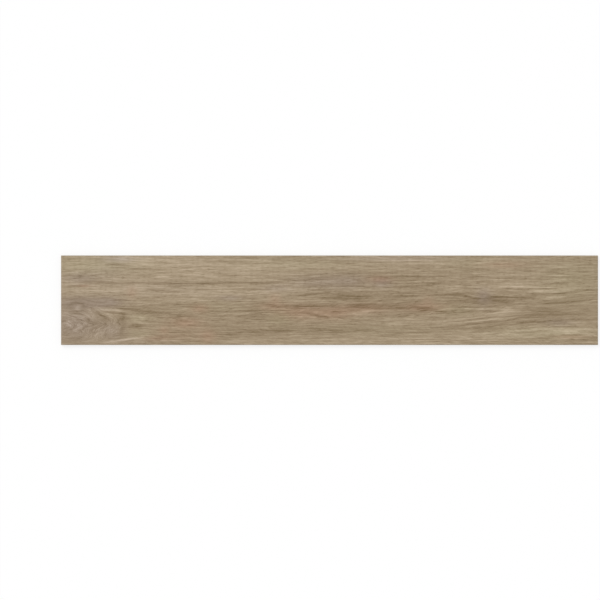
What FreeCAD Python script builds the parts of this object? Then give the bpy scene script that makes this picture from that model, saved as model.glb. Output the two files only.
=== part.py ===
"""Wood look porcelain plank tile: one dry-pressed, fired plank with four ground edges.

The face is flat with a small bevel ground along its four edges. The back keeps the press
die's keying pattern: a lattice of low ribs round shallow drafted pockets, inside a plain
band. Millimetres, +Z up, +X along the plank. The origin is the middle of the back, so the
plank lies on its ribs at z = 0 with its face upwards.
"""

import os

import FreeCAD
import Part

# Driving dimensions of the plank.
LENGTH = 1200.0
WIDTH = 200.0
THICKNESS = 9.5
FACE_BEVEL = 0.7

# Driving dimensions of the keying pattern on the back.
BACK_BAND = 6.0
POCKET_SPACING = 20.0
RIB_WIDTH = 3.0
POCKET_DEPTH = 0.6
POCKET_DRAFT = 0.8


def pocket_pitch(plank_side):
    """Number of pockets along one side of the back, and the pitch that fills it evenly."""
    keyed_side = plank_side - 2 * BACK_BAND
    count = round((keyed_side + RIB_WIDTH) / POCKET_SPACING)
    return count, (keyed_side + RIB_WIDTH) / count


def pocket_places(count, pitch):
    """Middles of one row of pockets, spread evenly about the plank's centre line."""
    return [(number - (count - 1) / 2) * pitch for number in range(count)]


def ground_blank():
    """The plank as ground: square edges, with the bevel round the face."""
    corner = FreeCAD.Vector(-LENGTH / 2, -WIDTH / 2, 0)
    blank = Part.makeBox(LENGTH, WIDTH, THICKNESS, corner)
    face = max(blank.Faces, key=lambda one: one.CenterOfMass.z)
    return blank.makeChamfer(FACE_BEVEL, face.Edges)


def pocket_die(length, width):
    """One pad of the press die: widest at the back, narrowing so that it draws out clean."""
    half_length = length / 2
    half_width = width / 2
    floor_half_length = half_length - POCKET_DRAFT
    floor_half_width = half_width - POCKET_DRAFT
    pad = Part.makeWedge(
        -half_length, 0, -half_width, -floor_half_width, -floor_half_length,
        half_length, POCKET_DEPTH, half_width, floor_half_width, floor_half_length,
    )
    pad.rotate(FreeCAD.Vector(0, 0, 0), FreeCAD.Vector(1, 0, 0), 90)
    return pad


def plank_tile():
    """The whole plank: the ground blank with every pocket pressed into its back."""
    along_count, along_pitch = pocket_pitch(LENGTH)
    across_count, across_pitch = pocket_pitch(WIDTH)
    pad = pocket_die(along_pitch - RIB_WIDTH, across_pitch - RIB_WIDTH)
    pads = [
        pad.translated(FreeCAD.Vector(x, y, 0))
        for x in pocket_places(along_count, along_pitch)
        for y in pocket_places(across_count, across_pitch)
    ]
    return ground_blank().cut(Part.makeCompound(pads))


os.makedirs("parts", exist_ok=True)
tile = plank_tile().Solids[0]
tile.exportStep("parts/plank_tile.step")
print(f"plank_tile: {tile.Volume / 1e3:.1f} cm3, {len(tile.Faces)} faces, valid {tile.isValid()}")
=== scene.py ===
"""Dress the wood look porcelain plank tile: its printed face, ground edges, keyed back and stage."""

import bmesh
import bpy
import numpy as np
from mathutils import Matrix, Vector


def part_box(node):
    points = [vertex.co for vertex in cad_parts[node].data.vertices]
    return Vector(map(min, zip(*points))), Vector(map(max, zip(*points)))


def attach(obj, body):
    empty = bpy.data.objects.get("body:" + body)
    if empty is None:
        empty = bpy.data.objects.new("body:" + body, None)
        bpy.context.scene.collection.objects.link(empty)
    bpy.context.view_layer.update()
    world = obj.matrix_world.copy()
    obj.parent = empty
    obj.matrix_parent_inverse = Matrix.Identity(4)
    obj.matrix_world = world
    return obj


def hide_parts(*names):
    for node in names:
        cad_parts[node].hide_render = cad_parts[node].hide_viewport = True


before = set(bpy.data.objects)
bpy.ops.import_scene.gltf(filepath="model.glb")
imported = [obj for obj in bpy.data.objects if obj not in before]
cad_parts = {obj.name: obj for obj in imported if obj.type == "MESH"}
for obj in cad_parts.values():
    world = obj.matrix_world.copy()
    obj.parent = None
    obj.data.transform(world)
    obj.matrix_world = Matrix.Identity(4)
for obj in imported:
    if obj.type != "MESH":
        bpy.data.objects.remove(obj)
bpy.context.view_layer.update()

# The printed figure of the face.
# The face carries the picture of one sawn board, printed in ceramic inks under the glaze: broad bands
# of tone, darker growth lines, a warm heart streak, a small knot and a curl at the left end.
# Places on the face are millimetres along from its left end and down from its upper edge.
PLANK_LOW, PLANK_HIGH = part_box("plank_tile")
LENGTH, WIDTH, THICKNESS = PLANK_HIGH - PLANK_LOW
MILLIMETRES = 1000.0
FACE_BEVEL = 0.0007
FACE_COLUMNS = 300
FACE_ROWS = 290

# Lenses that the grain parts round: along, down, run in, run out, half height, share of parting.
GRAIN_LENSES = (
    (634, 91, 90, 90, 16, 0.35), (974, 93, 100, 100, 18, 0.35), (42, 115, 27, 27, 13, 0.5),
    (940, 124, 220, 75, 20, 0.55),
)

# Stretches where the grain rises to the right: along, down, half length, half height, rise.
GRAIN_RISES = (
    (960, 149, 110, 24, 26), (1137, 100, 75, 30, 13), (512, 53, 134, 13, 9),
)

# Wander of the whole grain up and down: length and width of its waves, millimetres, seed.
GRAIN_WANDER = (80, 26.0, 1.4, 43)

# The curl, a lens whose fibre winds round a heart: along, down, half length, half height.
CURL = (40, 155, 105, 45)
# Share by which the curl spreads the straight grain that passes it.
CURL_WIDENING = 0.4
# Heart of the curl, along and down: its rings are stretched along the plank, with shorter fibre.
CURL_HEART = (6, 158)
CURL_STRETCH = 2.3
CURL_SHORTER = 4.0
# Waver of the rings round the heart, as the wander of the grain.
CURL_WAVER = (22, 11.0, 4.0, 41)
# Winding fibre of the curl: length and width of its streaks, levels, seed.
CURL_FIBRE = ((90, 4.5, 10.0, 37), (50, 2.8, 8.0, 39))

# Broad tones: along, down, half length, half height, levels lighter or darker than the print's own.
BROAD_TONES = (
    # Upper light band.
    (38, 19, 67, 20, 8), (165, 13, 78, 16, 8), (243, 19, 134, 22, 8), (389, 24, 112, 20, 6),
    (567, 24, 112, 13, 4), (724, 15, 134, 16, 6), (1171, 13, 56, 20, -3),
    # Band under it.
    (194, 53, 80, 13, -1), (395, 48, 139, 13, 8), (620, 51, 130, 16, -6), (775, 53, 72, 16, -3),
    (1025, 64, 112, 16, 8), (109, 73, 206, 22, 9), (344, 84, 134, 20, 5), (444, 75, 89, 13, 3),
    (768, 82, 123, 13, -7),
    # Eyes and heart.
    (646, 91, 58, 9, -14), (556, 102, 89, 6, 4), (974, 99, 98, 15, -14), (1128, 82, 63, 16, 5),
    (1160, 100, 67, 18, -5), (534, 118, 101, 13, -7), (695, 115, 94, 11, -10),
    (802, 118, 85, 13, -5), (288, 120, 89, 13, -5), (456, 138, 78, 16, -8),
    # Curl at the left end.
    (51, 106, 72, 13, -8), (40, 115, 20, 11, -18), (37, 116, 8, 6, 32), (31, 140, 63, 31, -1),
    (31, 185, 63, 16, -6), (127, 144, 27, 31, -6), (138, 138, 9, 11, -19), (136, 170, 7, 11, -14),
    (203, 133, 40, 13, -5), (176, 140, 22, 9, 7), (170, 158, 17, 5, -25), (172, 176, 27, 9, 6),
    (284, 144, 63, 13, -3),
    # Sweep at the right end.
    (992, 124, 31, 8, 2), (914, 111, 67, 11, -3), (1088, 128, 45, 13, -13),
    (1003, 151, 112, 11, -5), (869, 164, 112, 9, -4), (1104, 169, 134, 13, 12),
    (925, 180, 101, 11, 8), (1171, 142, 56, 18, -6),
    # Lower bands.
    (377, 171, 89, 11, -6), (590, 169, 101, 11, -7), (467, 167, 89, 11, -4), (753, 156, 58, 11, 3),
    (668, 144, 101, 13, -5), (679, 185, 134, 11, 5), (243, 180, 78, 11, -4),
)

# Growth lines, and the pale lines between them: half width, levels, then the places they run through.
GROWTH_LINES = (
    # Upper light band.
    (2, -14, (98, 20), (149, 21)),
    (1.5, -9, (149, 30), (221, 29)),
    (2.5, 10, (114, 7), (149, 9)),
    (2, 11, (210, 49), (241, 48)),
    (2, -10, (24, 47), (87, 46)),
    (2, -10, (310, 44), (337, 46), (400, 46)),
    (2, -11, (355, 15), (418, 15)),
    (2.5, 12, (431, 11), (465, 10)),
    (4, -12, (469, 8), (494, 10)),
    (2, -10, (630, 19), (672, 17)),
    (2.5, 9, (610, 28), (686, 25)),
    (2.5, -9, (1084, 36), (1137, 33)),
    (3, -13, (1146, 36), (1186, 37)),
    # Long line and the lines it rises to.
    (2.5, -20, (30, 58), (80, 60), (132, 62), (255, 63), (400, 62)),
    (2.5, -18, (360, 61), (449, 61), (498, 59)),
    (2, -12, (474, 52), (525, 56), (570, 53)),
    (2, -9, (498, 42), (534, 46), (579, 43), (614, 46)),
    (2, -13, (677, 47), (739, 48), (762, 46), (813, 48), (882, 46)),
    (2, -13, (896, 49), (936, 47), (981, 51)),
    (2.5, -19, (990, 51), (1052, 51)),
    (1.5, -9, (932, 56), (1014, 58)),
    (2, -10, (1063, 54), (1101, 53)),
    # Light band over the heart.
    (2, -10, (15, 68), (60, 68)),
    (2, -10, (127, 87), (172, 87)),
    (3.5, 5, (60, 77), (199, 80)),
    (2.5, 10, (270, 99), (328, 100)),
    (2, -10, (395, 74), (453, 74)),
    (2, 14, (856, 71), (891, 71)),
    (2, 9, (976, 43), (1063, 44)),
    (2, 9, (927, 53), (990, 55)),
    (2, 9, (1039, 57), (1133, 57)),
    (2, -9, (1066, 62), (1135, 63)),
    (2, -8, (990, 76), (1117, 76)),
    (2, 9, (996, 80), (1135, 80)),
    (2, -9, (1039, 86), (1135, 84)),
    (2, 14, (981, 68), (1063, 72), (1119, 72)),
    (2.5, 10, (949, 77), (976, 77)),
    # Two dark eyes.
    (2, -18, (520, 90), (567, 87), (605, 81)),
    (2.5, -9, (605, 88), (650, 92), (695, 95)),
    (2, -11, (579, 96), (699, 97)),
    (2, 9, (511, 101), (659, 101)),
    (2.5, -12, (717, 93), (751, 92), (798, 91)),
    (2, -9, (753, 104), (811, 101)),
    (2.5, -19, (862, 86), (903, 90), (934, 97)),
    (2, -12, (874, 84), (927, 87)),
    (2.5, -15, (949, 92), (994, 93), (1061, 94)),
    (3, -14, (958, 103), (1012, 104)),
    (2, 10, (996, 105), (1050, 104)),
    (2.5, 14, (1070, 95), (1124, 95)),
    (2, -18, (1077, 107), (1119, 106), (1160, 101), (1204, 97)),
    (2, 11, (1144, 107), (1198, 102)),
    (2, -15, (1097, 86), (1137, 82), (1200, 77)),
    # Heart.
    (3.5, -10, (498, 115), (556, 114), (634, 115)),
    (3.5, -18, (632, 115), (681, 113), (726, 113)),
    (2, -9, (449, 111), (507, 110)),
    (2.5, -20, (547, 131), (574, 135), (599, 140)),
    (2, 10, (561, 127), (596, 131)),
    (2, 10, (554, 139), (576, 139)),
    (2, -11, (603, 125), (630, 129)),
    (3, -6, (724, 114), (775, 116)),
    (4.5, -11, (768, 114), (813, 118), (847, 123)),
    (2, -13, (831, 125), (865, 125)),
    (3, 14, (648, 131), (699, 124)),
    (2, -13, (733, 140), (780, 137)),
    (2.5, -18, (324, 122), (368, 125), (449, 124)),
    (2, -9, (391, 114), (449, 114)),
    (5, -7, (146, 119), (194, 125), (243, 131)),
    (2, -11, (250, 109), (293, 109)),
    (2, -11, (255, 137), (297, 135)),
    # Lower bands.
    (2, -17, (339, 178), (386, 175), (410, 171)),
    (4, -13, (406, 169), (456, 175)),
    (2.5, -11, (465, 167), (543, 168)),
    (2, 8, (505, 175), (545, 175)),
    (2.5, -13, (552, 163), (634, 169)),
    (3.5, -12, (596, 169), (661, 171)),
    (2, -9, (650, 168), (690, 166)),
    (2.5, -12, (701, 181), (739, 178), (768, 171)),
    (4, 11, (724, 153), (764, 152)),
    (2, -12, (757, 163), (802, 164), (851, 161), (905, 158)),
    # Sweep at the right end.
    (2, 18, (898, 119), (974, 119), (1012, 119)),
    (3.5, -17, (941, 126), (967, 125), (990, 123)),
    (3, 16, (936, 134), (981, 129), (1017, 123)),
    (2, 13, (853, 146), (900, 142), (950, 136)),
    (2, -12, (880, 147), (952, 140), (981, 135)),
    (2.5, 13, (833, 153), (882, 152), (918, 148), (958, 143), (990, 140)),
    (2.5, -13, (900, 156), (954, 149), (990, 145), (1025, 139), (1081, 131)),
    (2, -9, (952, 158), (1012, 153)),
    (2, -9, (907, 163), (1012, 162)),
    (2, -9, (914, 172), (996, 167)),
    (3, -14, (1019, 150), (1084, 147)),
    (3, -9, (1075, 147), (1110, 148), (1144, 152)),
    (3, -11, (1122, 158), (1157, 159)),
    (2.5, 9, (1003, 170), (1088, 163)),
    (3, 11, (1126, 169), (1157, 170)),
    (2, -9, (1115, 179), (1162, 177)),
    (3, -9, (1157, 121), (1189, 125)),
    (2, -8, (847, 125), (900, 122)),
    # Curl at the left end.
    (2.5, -14, (15, 110), (33, 105), (55, 110)),
    (2.5, 24, (76, 118), (96, 120), (123, 122), (152, 128)),
    (2, -10, (80, 114), (116, 113)),
    (2.5, -7, (96, 116), (136, 119), (183, 123)),
    (2, -10, (89, 126), (118, 129), (149, 133)),
    (3, -14, (80, 127), (104, 143)),
    (2, 7, (4, 145), (18, 156), (33, 170)),
    (2.5, 12, (35, 170), (45, 159), (55, 149)),
    (2, 12, (40, 145), (62, 154)),
    (2, 14, (89, 160), (97, 149)),
    (2, 14, (103, 129), (106, 135), (116, 143)),
    (2, -10, (179, 149), (210, 148)),
    (2.5, 20, (85, 195), (123, 191), (154, 186), (187, 182)),
    (3, -9, (237, 171), (295, 173)),
    (3, -8, (183, 183), (246, 183)),
    (2, -8, (257, 191), (324, 191)),
)

# Warm heartwood stain: along, down, half length, half height, strength.
WARM_STAINS = (
    (534, 126, 54, 16, 1), (612, 129, 40, 14, 0.85), (471, 113, 31, 9, 0.7),
    (677, 118, 58, 12, 0.8), (811, 116, 49, 10, 0.9), (820, 100, 13, 11, 0.5),
    (310, 118, 20, 10, 1), (279, 151, 36, 13, 1), (214, 185, 31, 6, 0.6), (266, 180, 45, 11, 0.4),
    (328, 180, 18, 16, 0.9), (51, 68, 13, 3, 0.8), (478, 97, 13, 11, 0.6), (713, 53, 27, 8, 1),
    (985, 21, 49, 8, 0.6), (158, 82, 11, 13, 0.6), (1142, 182, 40, 4, 0.6), (230, 167, 11, 9, 0.7),
)

# Grey-mauve stain, as on weathered wood: along, down, half length, half height, strength.
MAUVE_STAINS = (
    (42, 51, 40, 13, 0.7), (53, 106, 67, 13, 1), (31, 153, 58, 45, 1), (114, 167, 31, 22, 0.6),
    (109, 104, 27, 11, 0.7), (132, 8, 36, 7, 0.8), (377, 95, 27, 6, 0.7), (480, 73, 31, 9, 0.5),
    (574, 59, 63, 16, 0.6), (646, 57, 40, 16, 0.6), (719, 62, 22, 11, 0.8), (945, 93, 16, 18, 1),
    (746, 6, 134, 7, 0.4), (1112, 150, 34, 8, 0.6), (221, 73, 134, 18, 0.15),
    (105, 35, 45, 25, 0.25), (165, 190, 70, 12, 0.25),
)

# Pale olive stain of the sapwood: along, down, half length, half height, strength.
OLIVE_STAINS = (
    (65, 21, 112, 22, 0.8), (534, 17, 134, 16, 0.5), (489, 140, 27, 18, 0.7),
    (880, 122, 40, 13, 0.6), (1148, 55, 78, 54, 0.7), (344, 113, 67, 13, 0.4),
    (176, 140, 27, 11, 0.6), (174, 176, 27, 9, 0.6), (1081, 173, 134, 16, 0.7),
    (914, 15, 67, 18, 0.5), (701, 167, 134, 18, 0.3),
)

# Printed fibre: length and width of its streaks, levels, seed.
PRINTED_FIBRE = ((420, 16.0, 1.5, 3), (60, 5.0, 3.0, 5), (34, 3.2, 4.0, 7), (260, 2.2, 3.0, 9))
# Wander of the growth lines in millimetres, and their fraying as a share of their levels.
LINE_WANDER = (60, 9.0, 0.7, 21)
LINE_FRAYING = (40, 1.8, 0.4, 23)
# A line tapers over this length at each end, or over this share of it where it is short.
LINE_TAPER = 30.0
LINE_TAPER_SHARE = 0.3
LINE_STRENGTH = 1.15
BROAD_STRENGTH = 1.1
# Pressed relief: the levels from flush to full depth, and the share of the depth between the lines.
GROOVE_TONE = 24.0
GROOVE_AT_REST = 0.5
# Seeded noise repeats after this many rows and columns.
NOISE_ROWS = 256


def oval(middle_along, middle_down, half_length, half_height):
    """Soft oval on the face: 1 in its middle, fading outwards."""
    far_along = (along - middle_along) / half_length
    far_down = (down - middle_down) / half_height
    return np.exp(-(far_along ** 2 + far_down ** 2))


def eased(share):
    """A share from 0 to 1 that starts and ends gently."""
    return share ** 2 * (3 - 2 * share)


def streaks(run, rise, length, width, strength, seed):
    """Seeded noise up to that strength either way, drawn out to streaks of that length along the run."""
    table = np.random.default_rng(seed).uniform(-1, 1, (NOISE_ROWS, NOISE_ROWS))
    starts = np.random.default_rng(seed + 1).uniform(0, NOISE_ROWS, NOISE_ROWS)
    line = np.floor(rise / width).astype(int)
    between = eased(rise / width - line)
    noise = np.zeros_like(along)
    for step, weight in ((0, 1 - between), (1, between)):
        row = (line + step) % NOISE_ROWS
        reach = run / length + starts[row]
        column = np.floor(reach).astype(int)
        nearer = table[row, column % NOISE_ROWS]
        further = table[row, (column + 1) % NOISE_ROWS]
        noise += weight * (nearer + (further - nearer) * eased(reach - column))
    return strength * noise


def growth_line(half_width, route):
    """Soft line through the places of its route, tapering towards both ends."""
    route_along, route_down = np.array(route, float).T
    middle = np.interp(along, route_along, route_down)
    slopes = np.diff(route_down) / np.diff(route_along)
    stretch = np.clip(np.searchsorted(route_along, along) - 1, 0, len(slopes) - 1)
    aside = (down + line_wander - middle) / np.sqrt(1 + slopes[stretch] ** 2)
    first, last = route_along[0], route_along[-1]
    taper = min(LINE_TAPER, LINE_TAPER_SHARE * (last - first))
    inside = np.clip(np.minimum(along - first, last - along) / taper, 0, 1)
    return LINE_STRENGTH * np.sqrt(inside) * np.exp(-(aside / half_width) ** 2)


face_sheet = bpy.data.meshes.new("face_sheet")
grid = bmesh.new()
bmesh.ops.create_grid(grid, x_segments=FACE_COLUMNS, y_segments=FACE_ROWS, size=0.5)
grid.to_mesh(face_sheet)
grid.free()
points = np.empty(len(face_sheet.vertices) * 3, np.float32)
face_sheet.vertices.foreach_get("co", points)
points = points.reshape(-1, 3) * (LENGTH - 2 * FACE_BEVEL, WIDTH - 2 * FACE_BEVEL, 0) + (0, 0, THICKNESS)
face_sheet.vertices.foreach_set("co", points.astype(np.float32).ravel())
along = (points[:, 0] + LENGTH / 2) * MILLIMETRES
down = (WIDTH / 2 - points[:, 1]) * MILLIMETRES

# The grain runs along the plank, parts round the lenses, climbs over the rising stretches, wanders a
# little, and is drawn in and widened over the curl.
grain_along = along.copy()
grain_across = down.copy()
for middle_along, middle_down, run_in, run_out, half_height, parting in GRAIN_LENSES:
    half_length = np.where(along < middle_along, run_in, run_out)
    near = oval(middle_along, middle_down, half_length, half_height)
    grain_across -= parting * (down - middle_down) * near
for middle_along, middle_down, half_length, half_height, rise in GRAIN_RISES:
    climb = np.tanh((along - middle_along) / half_length)
    grain_across += rise / 2 * climb * np.exp(-((down - middle_down) / half_height) ** 2)
grain_across += streaks(along, down, *GRAIN_WANDER)
curl_along, curl_down, curl_length, curl_height = CURL
past_curl = (along - curl_along) / curl_length
below_curl = (down - curl_down) / curl_height
grain_along += curl_length * np.tanh(past_curl) * np.exp(-below_curl ** 2)
grain_across -= CURL_WIDENING * (down - curl_down) * oval(*CURL)

# Inside the curl the fibre winds round the heart instead.
heart_along = (along - CURL_HEART[0]) / CURL_STRETCH
heart_down = down - CURL_HEART[1]
winding_rise = np.hypot(heart_along, heart_down)
winding_run = CURL_SHORTER * winding_rise * np.arctan2(heart_down, heart_along)
winding_rise += streaks(along, down, *CURL_WAVER)
curl = np.exp(-(past_curl ** 2 + below_curl ** 2) ** 2)

line_wander = streaks(grain_along, grain_across, *LINE_WANDER)
line_fraying = 1 + streaks(grain_along, grain_across, *LINE_FRAYING)
line_tone = np.zeros_like(along)
for fibre in PRINTED_FIBRE:
    line_tone += (1 - curl) * streaks(grain_along, grain_across, *fibre)
for fibre in CURL_FIBRE:
    line_tone += curl * streaks(winding_run, winding_rise, *fibre)
for half_width, levels, *route in GROWTH_LINES:
    line_tone += levels * line_fraying * growth_line(half_width, route)
tone = line_tone + BROAD_STRENGTH * sum(levels * oval(*place) for *place, levels in BROAD_TONES)
stains = [
    sum(strength * oval(*place) for *place, strength in stain)
    for stain in (WARM_STAINS, MAUVE_STAINS, OLIVE_STAINS)
]
groove = np.clip(GROOVE_AT_REST - line_tone / GROOVE_TONE, 0, 1)


def store(name, values):
    """Keep one value, or one vector, at each point of the face sheet under a name."""
    kind, field = ("FLOAT", "value") if values.ndim == 1 else ("FLOAT_VECTOR", "vector")
    attribute = face_sheet.attributes.new(name, kind, "POINT")
    attribute.data.foreach_set(field, values.astype(np.float32).ravel())


store("grain", np.stack([grain_along, grain_across, np.zeros_like(along)], axis=1))
store("tone", tone)
store("stain", np.stack(stains, axis=1))
store("groove", groove)
store("curl", curl)
store("winding", np.stack([winding_run, winding_rise, np.zeros_like(along)], axis=1))

# The glaze over the print.
# A thin matt glaze is fired on over the inks, with faint mineral grains in it. The finest fibre, the
# growth rings and the pores of the wood are printed too, and the pores are pitted a little.
PRINT_COLOUR = (161.6, 144.5, 120.7)
GLOSS_VEIL = 0.03
# The inks reach so many levels lighter and darker, with these shades mixed between the two ends.
TONE_REACH = 60.0
INK_STOPS = (0.25, 0.5, 0.75)
# Tints of the stains by the axis that carries each: warm, grey-mauve and olive.
STAIN_TINTS = {"X": (1.065, 0.95, 0.95, 1), "Y": (0.955, 0.965, 1.11, 1), "Z": (0.965, 1.018, 0.965, 1)}
# Fibres of the print: length, width, finer detail along them, levels between dark and pale.
FIBRES = ((220, 1.8, 1, 22), (45, 2.2, 1, 18), (16, 2.4, 1, 18), (70, 0.5, 0, 32), (22, 0.8, 0, 20))
# Growth rings, a dark line beside a pale one: length and width of the lines, levels between them.
RINGS = ((50, 3.0, 27), (60, 4.2, 15))
RING_DETAIL = 1
RING_MIDDLE = 0.5
NOISE_MIDDLE = 0.5
# Each row of fibre lies so far from the next in the noise, and is read in steps of these millimetres.
ROW_SPREAD = 7.31
GRAIN_STEP = 0.05
# Where straight fibre gives way to the curl's, and the least share of the fibre left there.
CURL_BORDER = 0.5
BORDER_CALM = 0.75
# Pores: size, levels darker, how much a paler print thins them out, noise where they begin and are full.
PORE_LENGTH = 12
PORE_WIDTH = 0.3
PORE_LEVELS = 22
PORE_CLUSTERING = 0.001
PORE_BRINK = (0.33, 0.27)
GLAZE_GRAIN = 0.0009
GLAZE_SPECK_LIGHT = (0.97, 1.03)
GLAZE_ROUGHNESS = (0.55, 0.7)
GLAZE_GLOSS = 0.35
GLAZE_BUMP = 0.5
GLAZE_RELIEF = 0.00006
# Mineral grains: where a grain's rim fades, and which draws of the lottery make it dark or pale.
SPECK_RIM = (0.5, 0.3)
SPECK_DRAWS = {"Dark Grains": (0.16, 0.12), "Pale Grains": (0.88, 0.92)}
DUST_DETAIL = 3.0


def place_node(tree, kind, inputs=(), **settings):
    """Add a node, set its properties, and feed its inputs with values or other nodes' outputs."""
    node = tree.nodes.new(kind)
    for name, value in settings.items():
        setattr(node, name, value)
    for socket, value in dict(inputs).items():
        if isinstance(value, bpy.types.NodeSocket):
            tree.links.new(value, node.inputs[socket])
        else:
            node.inputs[socket].default_value = value
    return node


def reckon(tree, operation, *values):
    """Result of one step of arithmetic on numbers or other nodes' outputs."""
    return place_node(tree, "ShaderNodeMath", enumerate(values), operation=operation).outputs[0]


def mapped(tree, value, low, high, new_low=0.0, new_high=1.0):
    """A value that goes from low to high, made to go between two new ends and held there."""
    ends = {"From Min": low, "From Max": high, "To Min": new_low, "To Max": new_high}
    return place_node(tree, "ShaderNodeMapRange", {"Value": value, **ends}).outputs["Result"]


def linear(level):
    """One printed colour channel, 0 to 255, as the light that it sends back by the sRGB curve."""
    share = level / 255
    return share / 12.92 if share <= 0.04045 else ((share + 0.055) / 1.055) ** 2.4


def ink(levels):
    """Colour of the print, so many levels lighter or darker, less what the glaze's gloss adds."""
    light = [(linear(channel + levels) - GLOSS_VEIL) / (1 - GLOSS_VEIL) for channel in PRINT_COLOUR]
    return (*light, 1.0)


# Mineral grains of the porcelain: they show in the bare body, and faintly through the glaze.
speckle = bpy.data.node_groups.new("mineral_speckle", "ShaderNodeTree")
speckle.interface.new_socket("Place", in_out="INPUT", socket_type="NodeSocketVector")
speckle.interface.new_socket("Grain Size", in_out="INPUT", socket_type="NodeSocketFloat")
for name in ("Dark Grains", "Pale Grains", "Mottle", "Height"):
    speckle.interface.new_socket(name, in_out="OUTPUT", socket_type="NodeSocketFloat")
grains_in = place_node(speckle, "NodeGroupInput").outputs
grain_density = reckon(speckle, "DIVIDE", 1.0, grains_in["Grain Size"])
cells = place_node(
    speckle, "ShaderNodeTexVoronoi", {"Vector": grains_in["Place"], "Scale": grain_density}).outputs
lottery = place_node(speckle, "ShaderNodeSeparateColor", {"Color": cells["Color"]}).outputs["Red"]
inside_grain = mapped(speckle, cells["Distance"], *SPECK_RIM)
specks = {
    name: reckon(speckle, "MULTIPLY", mapped(speckle, lottery, *draws), inside_grain)
    for name, draws in SPECK_DRAWS.items()
}
dust = place_node(
    speckle, "ShaderNodeTexNoise",
    {"Vector": grains_in["Place"], "Scale": grain_density, "Detail": DUST_DETAIL}).outputs["Fac"]
speck_height = reckon(speckle, "SUBTRACT", dust, specks["Dark Grains"])
place_node(speckle, "NodeGroupOutput", {**specks, "Mottle": dust, "Height": speck_height})

glaze = bpy.data.materials.new("matt_printed_glaze")
glaze.use_nodes = True
paint = glaze.node_tree
paint.nodes.clear()
straight = place_node(paint, "ShaderNodeAttribute", attribute_name="grain").outputs["Vector"]
winding = place_node(paint, "ShaderNodeAttribute", attribute_name="winding").outputs["Vector"]
curl_print = place_node(paint, "ShaderNodeAttribute", attribute_name="curl").outputs["Fac"]
tone_print = place_node(paint, "ShaderNodeAttribute", attribute_name="tone").outputs["Fac"]
stain_print = place_node(paint, "ShaderNodeAttribute", attribute_name="stain").outputs["Vector"]
in_curl = reckon(paint, "GREATER_THAN", curl_print, CURL_BORDER)
print_grain = place_node(
    paint, "ShaderNodeMix", {"Factor": in_curl, 4: straight, 5: winding}, data_type="VECTOR").outputs[1]


def fibre_noise(length, width, detail):
    """Noise in separate rows along the printed grain: streaks of that length and width in millimetres."""
    rows = place_node(
        paint, "ShaderNodeVectorMath", {0: print_grain, 1: (GRAIN_STEP, width, 1)}, operation="SNAP")
    stretched = place_node(
        paint, "ShaderNodeVectorMath", {0: rows.outputs[0], 1: (1 / length, ROW_SPREAD / width, 0)},
        operation="MULTIPLY")
    noise = place_node(
        paint, "ShaderNodeTexNoise", {"Vector": stretched.outputs[0], "Scale": 1.0, "Detail": detail},
        noise_dimensions="2D")
    return noise.outputs["Fac"]


def centred(noise):
    """Noise as a swing to either side of nothing."""
    return reckon(paint, "SUBTRACT", noise, NOISE_MIDDLE)


fibre_levels = 0.0
for length, width, detail, strength in FIBRES:
    fibre_swing = centred(fibre_noise(length, width, detail))
    fibre_levels = reckon(paint, "MULTIPLY_ADD", fibre_swing, strength, fibre_levels)
across_grain = place_node(paint, "ShaderNodeSeparateXYZ", {0: print_grain}).outputs["Y"]
for length, width, strength in RINGS:
    pair_width = 2 * width
    within_pair = reckon(paint, "FRACT", reckon(paint, "DIVIDE", across_grain, pair_width))
    pale_side = reckon(paint, "GREATER_THAN", within_pair, RING_MIDDLE)
    ring_strength = mapped(paint, pale_side, 0.0, 1.0, -strength, strength)
    ring_swing = centred(fibre_noise(length, pair_width, RING_DETAIL))
    fibre_levels = reckon(paint, "MULTIPLY_ADD", ring_swing, ring_strength, fibre_levels)
pore_noise = reckon(
    paint, "MULTIPLY_ADD", tone_print, PORE_CLUSTERING, fibre_noise(PORE_LENGTH, PORE_WIDTH, 0))
pores = mapped(paint, pore_noise, *PORE_BRINK)
fibre_levels = reckon(paint, "MULTIPLY_ADD", pores, -PORE_LEVELS, fibre_levels)

# Along the border of the curl, where the straight fibre gives way to the winding one, both are calmer.
past_border = reckon(paint, "ABSOLUTE", reckon(paint, "SUBTRACT", curl_print, CURL_BORDER))
calm = reckon(paint, "MAXIMUM", reckon(paint, "DIVIDE", past_border, CURL_BORDER), BORDER_CALM)
ink_levels = reckon(paint, "MULTIPLY_ADD", fibre_levels, calm, tone_print)
ramp = place_node(paint, "ShaderNodeValToRGB", {"Fac": mapped(paint, ink_levels, -TONE_REACH, TONE_REACH)})
stops = ramp.color_ramp.elements
for position in INK_STOPS:
    stops.new(position)
for stop in stops:
    stop.color = ink((stop.position * 2 - 1) * TONE_REACH)
print_colour = ramp.outputs["Color"]
stain_shares = place_node(paint, "ShaderNodeSeparateXYZ", {0: stain_print}).outputs
for axis, tint in STAIN_TINTS.items():
    print_colour = place_node(
        paint, "ShaderNodeMix", {"Factor": stain_shares[axis], 6: print_colour, 7: tint},
        data_type="RGBA", blend_type="MULTIPLY").outputs[2]
glaze_place = place_node(paint, "ShaderNodeTexCoord").outputs["Object"]
glaze_specks = place_node(
    paint, "ShaderNodeGroup", {"Place": glaze_place, "Grain Size": GLAZE_GRAIN},
    node_tree=speckle).outputs
speck_light = mapped(paint, glaze_specks["Mottle"], 0.0, 1.0, *GLAZE_SPECK_LIGHT)
speckled = place_node(
    paint, "ShaderNodeVectorMath", {0: print_colour, "Scale": speck_light}, operation="SCALE")
glaze_bump = place_node(
    paint, "ShaderNodeBump",
    {"Height": reckon(paint, "SUBTRACT", glaze_specks["Height"], pores),
     "Strength": GLAZE_BUMP, "Distance": GLAZE_RELIEF})
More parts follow.
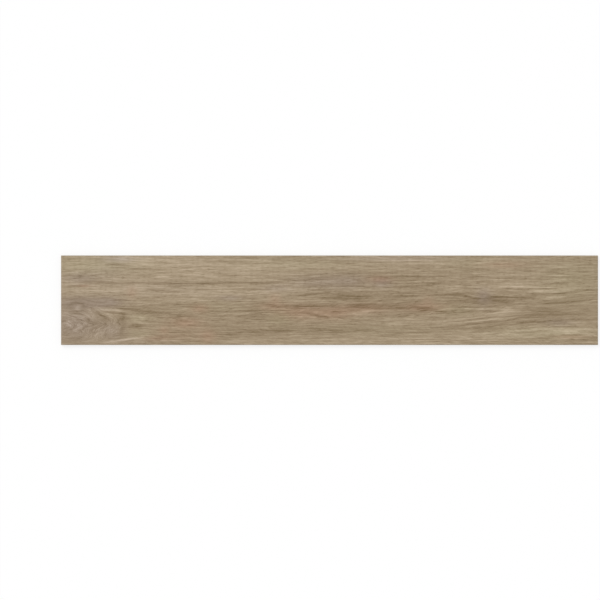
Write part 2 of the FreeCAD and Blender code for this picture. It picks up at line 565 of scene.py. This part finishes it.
glaze_shader = place_node(
    paint, "ShaderNodeBsdfPrincipled",
    {"Base Color": speckled.outputs[0], "Roughness": mapped(paint, pores, 0.0, 1.0, *GLAZE_ROUGHNESS),
     "Specular IOR Level": GLAZE_GLOSS, "Normal": glaze_bump.outputs["Normal"]})
place_node(paint, "ShaderNodeOutputMaterial", {"Surface": glaze_shader.outputs["BSDF"]})

# The porcelain body.
# The body is one dry-pressed, fired slab of beige porcelain, with a thin engobe between it and the
# glaze. The ground edges show both bare, with fine mineral grains and the wheel's lines along them,
# and kiln wash dusts the ribs that it was fired on.
CLAY_DARK = (112, 98, 82)
CLAY_PALE = (160, 145, 126)
CLAY_SPECK = (84, 72, 60)
CLAY_CHIP = (188, 178, 162)
KILN_WASH = (206, 200, 190)
ENGOBE = (150, 134, 112)
CLAY_GRAIN = 0.0007
ENGOBE_DEPTH = 0.0012
ENGOBE_FADE = 0.0001
WASH_HEIGHT = 0.00025
# Noise through the body: waves to the metre along each axis, finer detail, and the ends of its range.
CLAY_MOTTLE = ((70, 70, 70), 4.0)
MOTTLE_RANGE = (0.25, 0.75)
WHEEL_LINES = ((60, 60, 9000), 2.0)
WASH_PATCHES = ((160, 160, 160), 5.0)
WASH_RANGE = (0.42, 0.66)
CLAY_ROUGHNESS = (0.66, 0.9)
CLAY_GLOSS = 0.3
CLAY_BUMP = 0.6
CLAY_RELIEF = 0.0001

body = bpy.data.materials.new("porcelain_body")
body.use_nodes = True
clay = body.node_tree
clay.nodes.clear()
clay_place = place_node(clay, "ShaderNodeTexCoord").outputs["Object"]
clay_height = place_node(clay, "ShaderNodeSeparateXYZ", {0: clay_place}).outputs["Z"]
clay_specks = place_node(
    clay, "ShaderNodeGroup", {"Place": clay_place, "Grain Size": CLAY_GRAIN}, node_tree=speckle).outputs


def clay_noise(waves, detail):
    """Noise through the body, with its own scale along each axis."""
    scaled = place_node(clay, "ShaderNodeVectorMath", {0: clay_place, 1: waves}, operation="MULTIPLY")
    noise = place_node(
        clay, "ShaderNodeTexNoise", {"Vector": scaled.outputs[0], "Scale": 1.0, "Detail": detail})
    return noise.outputs["Fac"]


def fired(colour):
    """A fired colour, 0 to 255 in each channel, as the light that it sends back."""
    return (*(linear(channel) for channel in colour), 1.0)


def over_clay(colour, share, upper):
    """Colour of the body with another fired colour over it, by a share that changes over the body."""
    return place_node(
        clay, "ShaderNodeMix", {"Factor": share, 6: colour, 7: fired(upper)}, data_type="RGBA").outputs[2]


wheel_lines = clay_noise(*WHEEL_LINES)
engobe_foot = THICKNESS - ENGOBE_DEPTH
engobe_line = mapped(clay, clay_height, engobe_foot - ENGOBE_FADE, engobe_foot)
on_ribs = mapped(clay, clay_height, WASH_HEIGHT, 0.0)
wash = reckon(clay, "MULTIPLY", on_ribs, mapped(clay, clay_noise(*WASH_PATCHES), *WASH_RANGE))
clay_mottle = mapped(clay, clay_noise(*CLAY_MOTTLE), *MOTTLE_RANGE)
clay_colour = over_clay(fired(CLAY_DARK), clay_mottle, CLAY_PALE)
clay_colour = over_clay(clay_colour, clay_specks["Dark Grains"], CLAY_SPECK)
clay_colour = over_clay(clay_colour, clay_specks["Pale Grains"], CLAY_CHIP)
clay_colour = over_clay(clay_colour, engobe_line, ENGOBE)
clay_colour = over_clay(clay_colour, wash, KILN_WASH)
clay_bump = place_node(
    clay, "ShaderNodeBump",
    {"Height": reckon(clay, "ADD", wheel_lines, clay_specks["Height"]),
     "Strength": CLAY_BUMP, "Distance": CLAY_RELIEF})
body_shader = place_node(
    clay, "ShaderNodeBsdfPrincipled",
    {"Base Color": clay_colour, "Roughness": mapped(clay, wheel_lines, 0.0, 1.0, *CLAY_ROUGHNESS),
     "Specular IOR Level": CLAY_GLOSS, "Normal": clay_bump.outputs["Normal"]})
place_node(clay, "ShaderNodeOutputMaterial", {"Surface": body_shader.outputs["BSDF"]})

# The pressed plank.
# One slab of pressed clay: the grooved face, the bevel ground round it, the square edges, and a back
# keyed with shallow drafted pockets between low ribs. The pockets repeat over the back, so one is
# made and set out on a grid.
BACK_BAND = 0.006
RIB_WIDTH = 0.003
POCKET_DEPTH = 0.0006
POCKET_DRAFT = 0.0008
POCKETS_ALONG = 60
POCKETS_ACROSS = 10
GROOVE_DEPTH = 0.00015
WELD = 0.00001
# What points up more than this belongs to the glazed face.
FACE_UPRIGHT = 0.8
SOCKET_KINDS = {float: "NodeSocketFloat", int: "NodeSocketInt", bpy.types.Material: "NodeSocketMaterial"}

press = bpy.data.node_groups.new("pressed_plank", "GeometryNodeTree")
press.interface.new_socket("Face Sheet", in_out="INPUT", socket_type="NodeSocketGeometry")
press.interface.new_socket("Plank", in_out="OUTPUT", socket_type="NodeSocketGeometry")
press_values = {
    "Length": LENGTH,
    "Width": WIDTH,
    "Thickness": THICKNESS,
    "Bevel": FACE_BEVEL,
    "Groove Depth": GROOVE_DEPTH,
    "Back Band": BACK_BAND,
    "Rib Width": RIB_WIDTH,
    "Pocket Depth": POCKET_DEPTH,
    "Pocket Draft": POCKET_DRAFT,
    "Pockets Along": POCKETS_ALONG,
    "Pockets Across": POCKETS_ACROSS,
    "Glaze": glaze,
    "Body": body,
}
press_sockets = {}
for name, value in press_values.items():
    kind = SOCKET_KINDS[type(value)]
    press_sockets[name] = press.interface.new_socket(name, in_out="INPUT", socket_type=kind)
given = place_node(press, "NodeGroupInput").outputs
here = place_node(press, "GeometryNodeInputPosition").outputs[0]
neighbours = place_node(press, "GeometryNodeInputMeshEdgeNeighbors").outputs["Face Count"]
open_rim = place_node(
    press, "FunctionNodeCompare", {2: neighbours, 3: 1}, data_type="INT", operation="EQUAL").outputs[0]


def vector_of(x, y, z):
    """A vector from three of the press's values."""
    return place_node(press, "ShaderNodeCombineXYZ", {"X": x, "Y": y, "Z": z}).outputs[0]


def reckon_vector(operation, first, second):
    """Result of one step of arithmetic on two vectors."""
    return place_node(press, "ShaderNodeVectorMath", {0: first, 1: second}, operation=operation).outputs[0]


def grow(mesh, mode, selection, target):
    """Extrude part of a mesh, then move what was grown to the target place."""
    grown = place_node(
        press, "GeometryNodeExtrudeMesh", {"Mesh": mesh, "Selection": selection, "Offset Scale": 0.0},
        mode=mode)
    moved = place_node(
        press, "GeometryNodeSetPosition",
        {"Geometry": grown.outputs["Mesh"], "Selection": grown.outputs["Top"], "Position": target})
    return moved.outputs[0], grown.outputs["Top"]


def weld(mesh):
    """Join the points of a mesh that lie on each other."""
    return place_node(press, "GeometryNodeMergeByDistance", {"Geometry": mesh, "Distance": WELD}).outputs[0]


def set_in(side, inset):
    """Length that is left of a side when both its ends are set in."""
    return reckon(press, "SUBTRACT", side, reckon(press, "MULTIPLY", inset, 2.0))


def share_left(side, inset):
    """Share that is left of a side when both its ends are set in."""
    return reckon(press, "DIVIDE", set_in(side, inset), side)


groove_share = place_node(
    press, "GeometryNodeInputNamedAttribute", {"Name": "groove"}, data_type="FLOAT").outputs[0]
groove_depth = reckon(press, "MULTIPLY", groove_share, given["Groove Depth"])
groove_drop = reckon(press, "MULTIPLY", groove_depth, -1.0)
face = place_node(
    press, "GeometryNodeSetPosition",
    {"Geometry": given["Face Sheet"], "Offset": vector_of(0.0, 0.0, groove_drop)}).outputs[0]

# The bevel runs out from the face to the foot of the bevel, and the edges run down from there to
# the back, where their points draw together on the ends of the back's ribs.
bevel_spread = vector_of(
    reckon(press, "DIVIDE", 1.0, share_left(given["Length"], given["Bevel"])),
    reckon(press, "DIVIDE", 1.0, share_left(given["Width"], given["Bevel"])),
    0.0)
bevel_foot = vector_of(0.0, 0.0, reckon(press, "SUBTRACT", given["Thickness"], given["Bevel"]))
bevel_place = reckon_vector("ADD", reckon_vector("MULTIPLY", here, bevel_spread), bevel_foot)
bevelled, _ = grow(face, "EDGES", open_rim, bevel_place)
cell = vector_of(
    reckon(press, "DIVIDE", given["Length"], given["Pockets Along"]),
    reckon(press, "DIVIDE", given["Width"], given["Pockets Across"]),
    1.0)
half_cell = reckon_vector("MULTIPLY", cell, (0.5, 0.5, 0.0))
below = reckon_vector("MULTIPLY", here, (1, 1, 0))
edge_place = reckon_vector("SNAP", reckon_vector("ADD", below, half_cell), cell)
edged, _ = grow(bevelled, "EDGES", open_rim, edge_place)

# One pocket of the back with half a rib all round it, set out on the grid of the back.
field_along = reckon(press, "ADD", set_in(given["Length"], given["Back Band"]), given["Rib Width"])
field_across = reckon(press, "ADD", set_in(given["Width"], given["Back Band"]), given["Rib Width"])
pitch_along = reckon(press, "DIVIDE", field_along, given["Pockets Along"])
pitch_across = reckon(press, "DIVIDE", field_across, given["Pockets Across"])
half_rib = reckon(press, "MULTIPLY", given["Rib Width"], 0.5)
rim_share = vector_of(share_left(pitch_along, half_rib), share_left(pitch_across, half_rib), 1.0)
mouth_along = reckon(press, "SUBTRACT", pitch_along, given["Rib Width"])
mouth_across = reckon(press, "SUBTRACT", pitch_across, given["Rib Width"])
floor_share = vector_of(
    share_left(mouth_along, given["Pocket Draft"]), share_left(mouth_across, given["Pocket Draft"]), 1.0)
pocket = place_node(
    press, "GeometryNodeMeshGrid",
    {"Size X": pitch_along, "Size Y": pitch_across, "Vertices X": 2, "Vertices Y": 2}).outputs["Mesh"]
ribbed, mouth = grow(pocket, "FACES", True, reckon_vector("MULTIPLY", here, rim_share))
pocket_lift = vector_of(0.0, 0.0, given["Pocket Depth"])
pocket_floor = reckon_vector("ADD", reckon_vector("MULTIPLY", here, floor_share), pocket_lift)
drafted, _ = grow(ribbed, "FACES", mouth, pocket_floor)
pocket_grid = place_node(
    press, "GeometryNodeMeshGrid",
    {"Size X": reckon(press, "SUBTRACT", field_along, pitch_along),
     "Size Y": reckon(press, "SUBTRACT", field_across, pitch_across),
     "Vertices X": given["Pockets Along"], "Vertices Y": given["Pockets Across"]}).outputs["Mesh"]
pockets = place_node(
    press, "GeometryNodeInstanceOnPoints", {"Points": pocket_grid, "Instance": drafted}).outputs[0]
keyed = weld(place_node(press, "GeometryNodeRealizeInstances", {"Geometry": pockets}).outputs[0])
band_spread = vector_of(
    reckon(press, "DIVIDE", given["Length"], field_along),
    reckon(press, "DIVIDE", given["Width"], field_across),
    0.0)
backed, _ = grow(keyed, "EDGES", open_rim, reckon_vector("MULTIPLY", here, band_spread))
back = place_node(press, "GeometryNodeFlipFaces", {"Mesh": backed}).outputs[0]

slab = place_node(press, "GeometryNodeJoinGeometry")
press.links.new(edged, slab.inputs[0])
press.links.new(back, slab.inputs[0])
closed = weld(slab.outputs[0])
upright = place_node(
    press, "ShaderNodeSeparateXYZ",
    {0: place_node(press, "GeometryNodeInputNormal").outputs["Normal"]}).outputs["Z"]
on_face = place_node(
    press, "FunctionNodeCompare", {0: upright, 1: FACE_UPRIGHT},
    data_type="FLOAT", operation="GREATER_THAN").outputs[0]
shaded = place_node(
    press, "GeometryNodeSetShadeSmooth", {"Geometry": closed, "Shade Smooth": on_face}).outputs[0]
real = place_node(press, "GeometryNodeRealizeInstances", {"Geometry": shaded}).outputs[0]
bodied = place_node(
    press, "GeometryNodeSetMaterial", {"Geometry": real, "Material": given["Body"]}).outputs[0]
glazed = place_node(
    press, "GeometryNodeSetMaterial",
    {"Geometry": bodied, "Selection": on_face, "Material": given["Glaze"]}).outputs[0]
place_node(press, "NodeGroupOutput", {"Plank": glazed})

pressed = bpy.data.objects.new("pressed_plank", face_sheet)
bpy.context.collection.objects.link(pressed)
pressing = pressed.modifiers.new("press", "NODES")
pressing.node_group = press
for name, socket in press_sockets.items():
    pressing[socket.identifier] = press_values[name]
graph = bpy.context.evaluated_depsgraph_get()
plank_mesh = bpy.data.meshes.new_from_object(
    pressed.evaluated_get(graph), preserve_all_data_layers=True, depsgraph=graph)
# The first material slot is empty, and no face uses it.
plank_mesh.materials.pop(index=0)
bpy.data.objects.remove(pressed)
plank = bpy.data.objects.new("printed_plank", plank_mesh)
bpy.context.collection.objects.link(plank)
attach(plank, "root")
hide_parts("plank_tile")

# The stage.
# A plain white floor under a soft even sky and one broad lamp high on the left, with the camera
# looking straight down on the face.
FLOOR_SIDE = 60.0
FLOOR_GAP = 0.0001
FLOOR_GLOW = 0.75
WHITE = (1, 1, 1, 1)
SKY_LIGHT = 0.72
LAMP_STRENGTH = 1.24
LAMP_TILT = 0.785
LAMP_TURN = 0.9
LAMP_SPREAD = 0.7
CAMERA_HEIGHT = 6.0
# Width of the picture at the face, and how far the plank lies right of its middle and below it.
PICTURE_WIDTH = 1.3408
PLANK_ASIDE = 0.0660
PLANK_BELOW = 0.0005


def seen_white(tree):
    """1 on a ray from the camera, off a gloss or through glass, which sees the stage as plain white."""
    rays = place_node(tree, "ShaderNodeLightPath").outputs
    seen_rays = rays["Is Camera Ray"]
    for kind in ("Is Glossy Ray", "Is Transmission Ray"):
        seen_rays = reckon(tree, "MAXIMUM", seen_rays, rays[kind])
    return seen_rays


floor_mesh = bpy.data.meshes.new("floor")
half_side = FLOOR_SIDE / 2
floor_mesh.from_pydata(
    [(-half_side, -half_side, -FLOOR_GAP), (half_side, -half_side, -FLOOR_GAP),
     (half_side, half_side, -FLOOR_GAP), (-half_side, half_side, -FLOOR_GAP)], [], [(0, 1, 2, 3)])
floor = bpy.data.objects.new("floor", floor_mesh)
bpy.context.collection.objects.link(floor)
white_floor = bpy.data.materials.new("white_floor")
white_floor.use_nodes = True
floor_tree = white_floor.node_tree
floor_tree.nodes.clear()
diffuse = place_node(floor_tree, "ShaderNodeBsdfDiffuse", {"Color": WHITE})
glow = place_node(floor_tree, "ShaderNodeEmission", {"Color": WHITE, "Strength": 1.0})
glow_share = reckon(floor_tree, "MULTIPLY", seen_white(floor_tree), FLOOR_GLOW)
glowing = place_node(
    floor_tree, "ShaderNodeMixShader", {0: glow_share, 1: diffuse.outputs[0], 2: glow.outputs[0]})
place_node(floor_tree, "ShaderNodeOutputMaterial", {"Surface": glowing.outputs[0]})
floor_mesh.materials.append(white_floor)

sky = bpy.data.worlds.new("soft_sky")
sky.use_nodes = True
sky_tree = sky.node_tree
sky_tree.nodes.clear()
sky_strength = mapped(sky_tree, seen_white(sky_tree), 0.0, 1.0, SKY_LIGHT, 1.0)
background = place_node(sky_tree, "ShaderNodeBackground", {"Color": WHITE, "Strength": sky_strength})
place_node(sky_tree, "ShaderNodeOutputWorld", {"Surface": background.outputs[0]})
bpy.context.scene.world = sky

lamp_data = bpy.data.lights.new("broad_lamp", "SUN")
lamp_data.energy = LAMP_STRENGTH
lamp_data.angle = LAMP_SPREAD
lamp = bpy.data.objects.new("broad_lamp", lamp_data)
lamp.rotation_euler = (0, -LAMP_TILT, -LAMP_TURN)
bpy.context.collection.objects.link(lamp)

camera_data = bpy.data.cameras.new("camera")
camera_data.lens = camera_data.sensor_width * CAMERA_HEIGHT / PICTURE_WIDTH
camera = bpy.data.objects.new("camera", camera_data)
camera.location = (-PLANK_ASIDE, PLANK_BELOW, THICKNESS + CAMERA_HEIGHT)
bpy.context.collection.objects.link(camera)
bpy.context.scene.camera = camera
bpy.context.scene.view_settings.view_transform = "Standard"
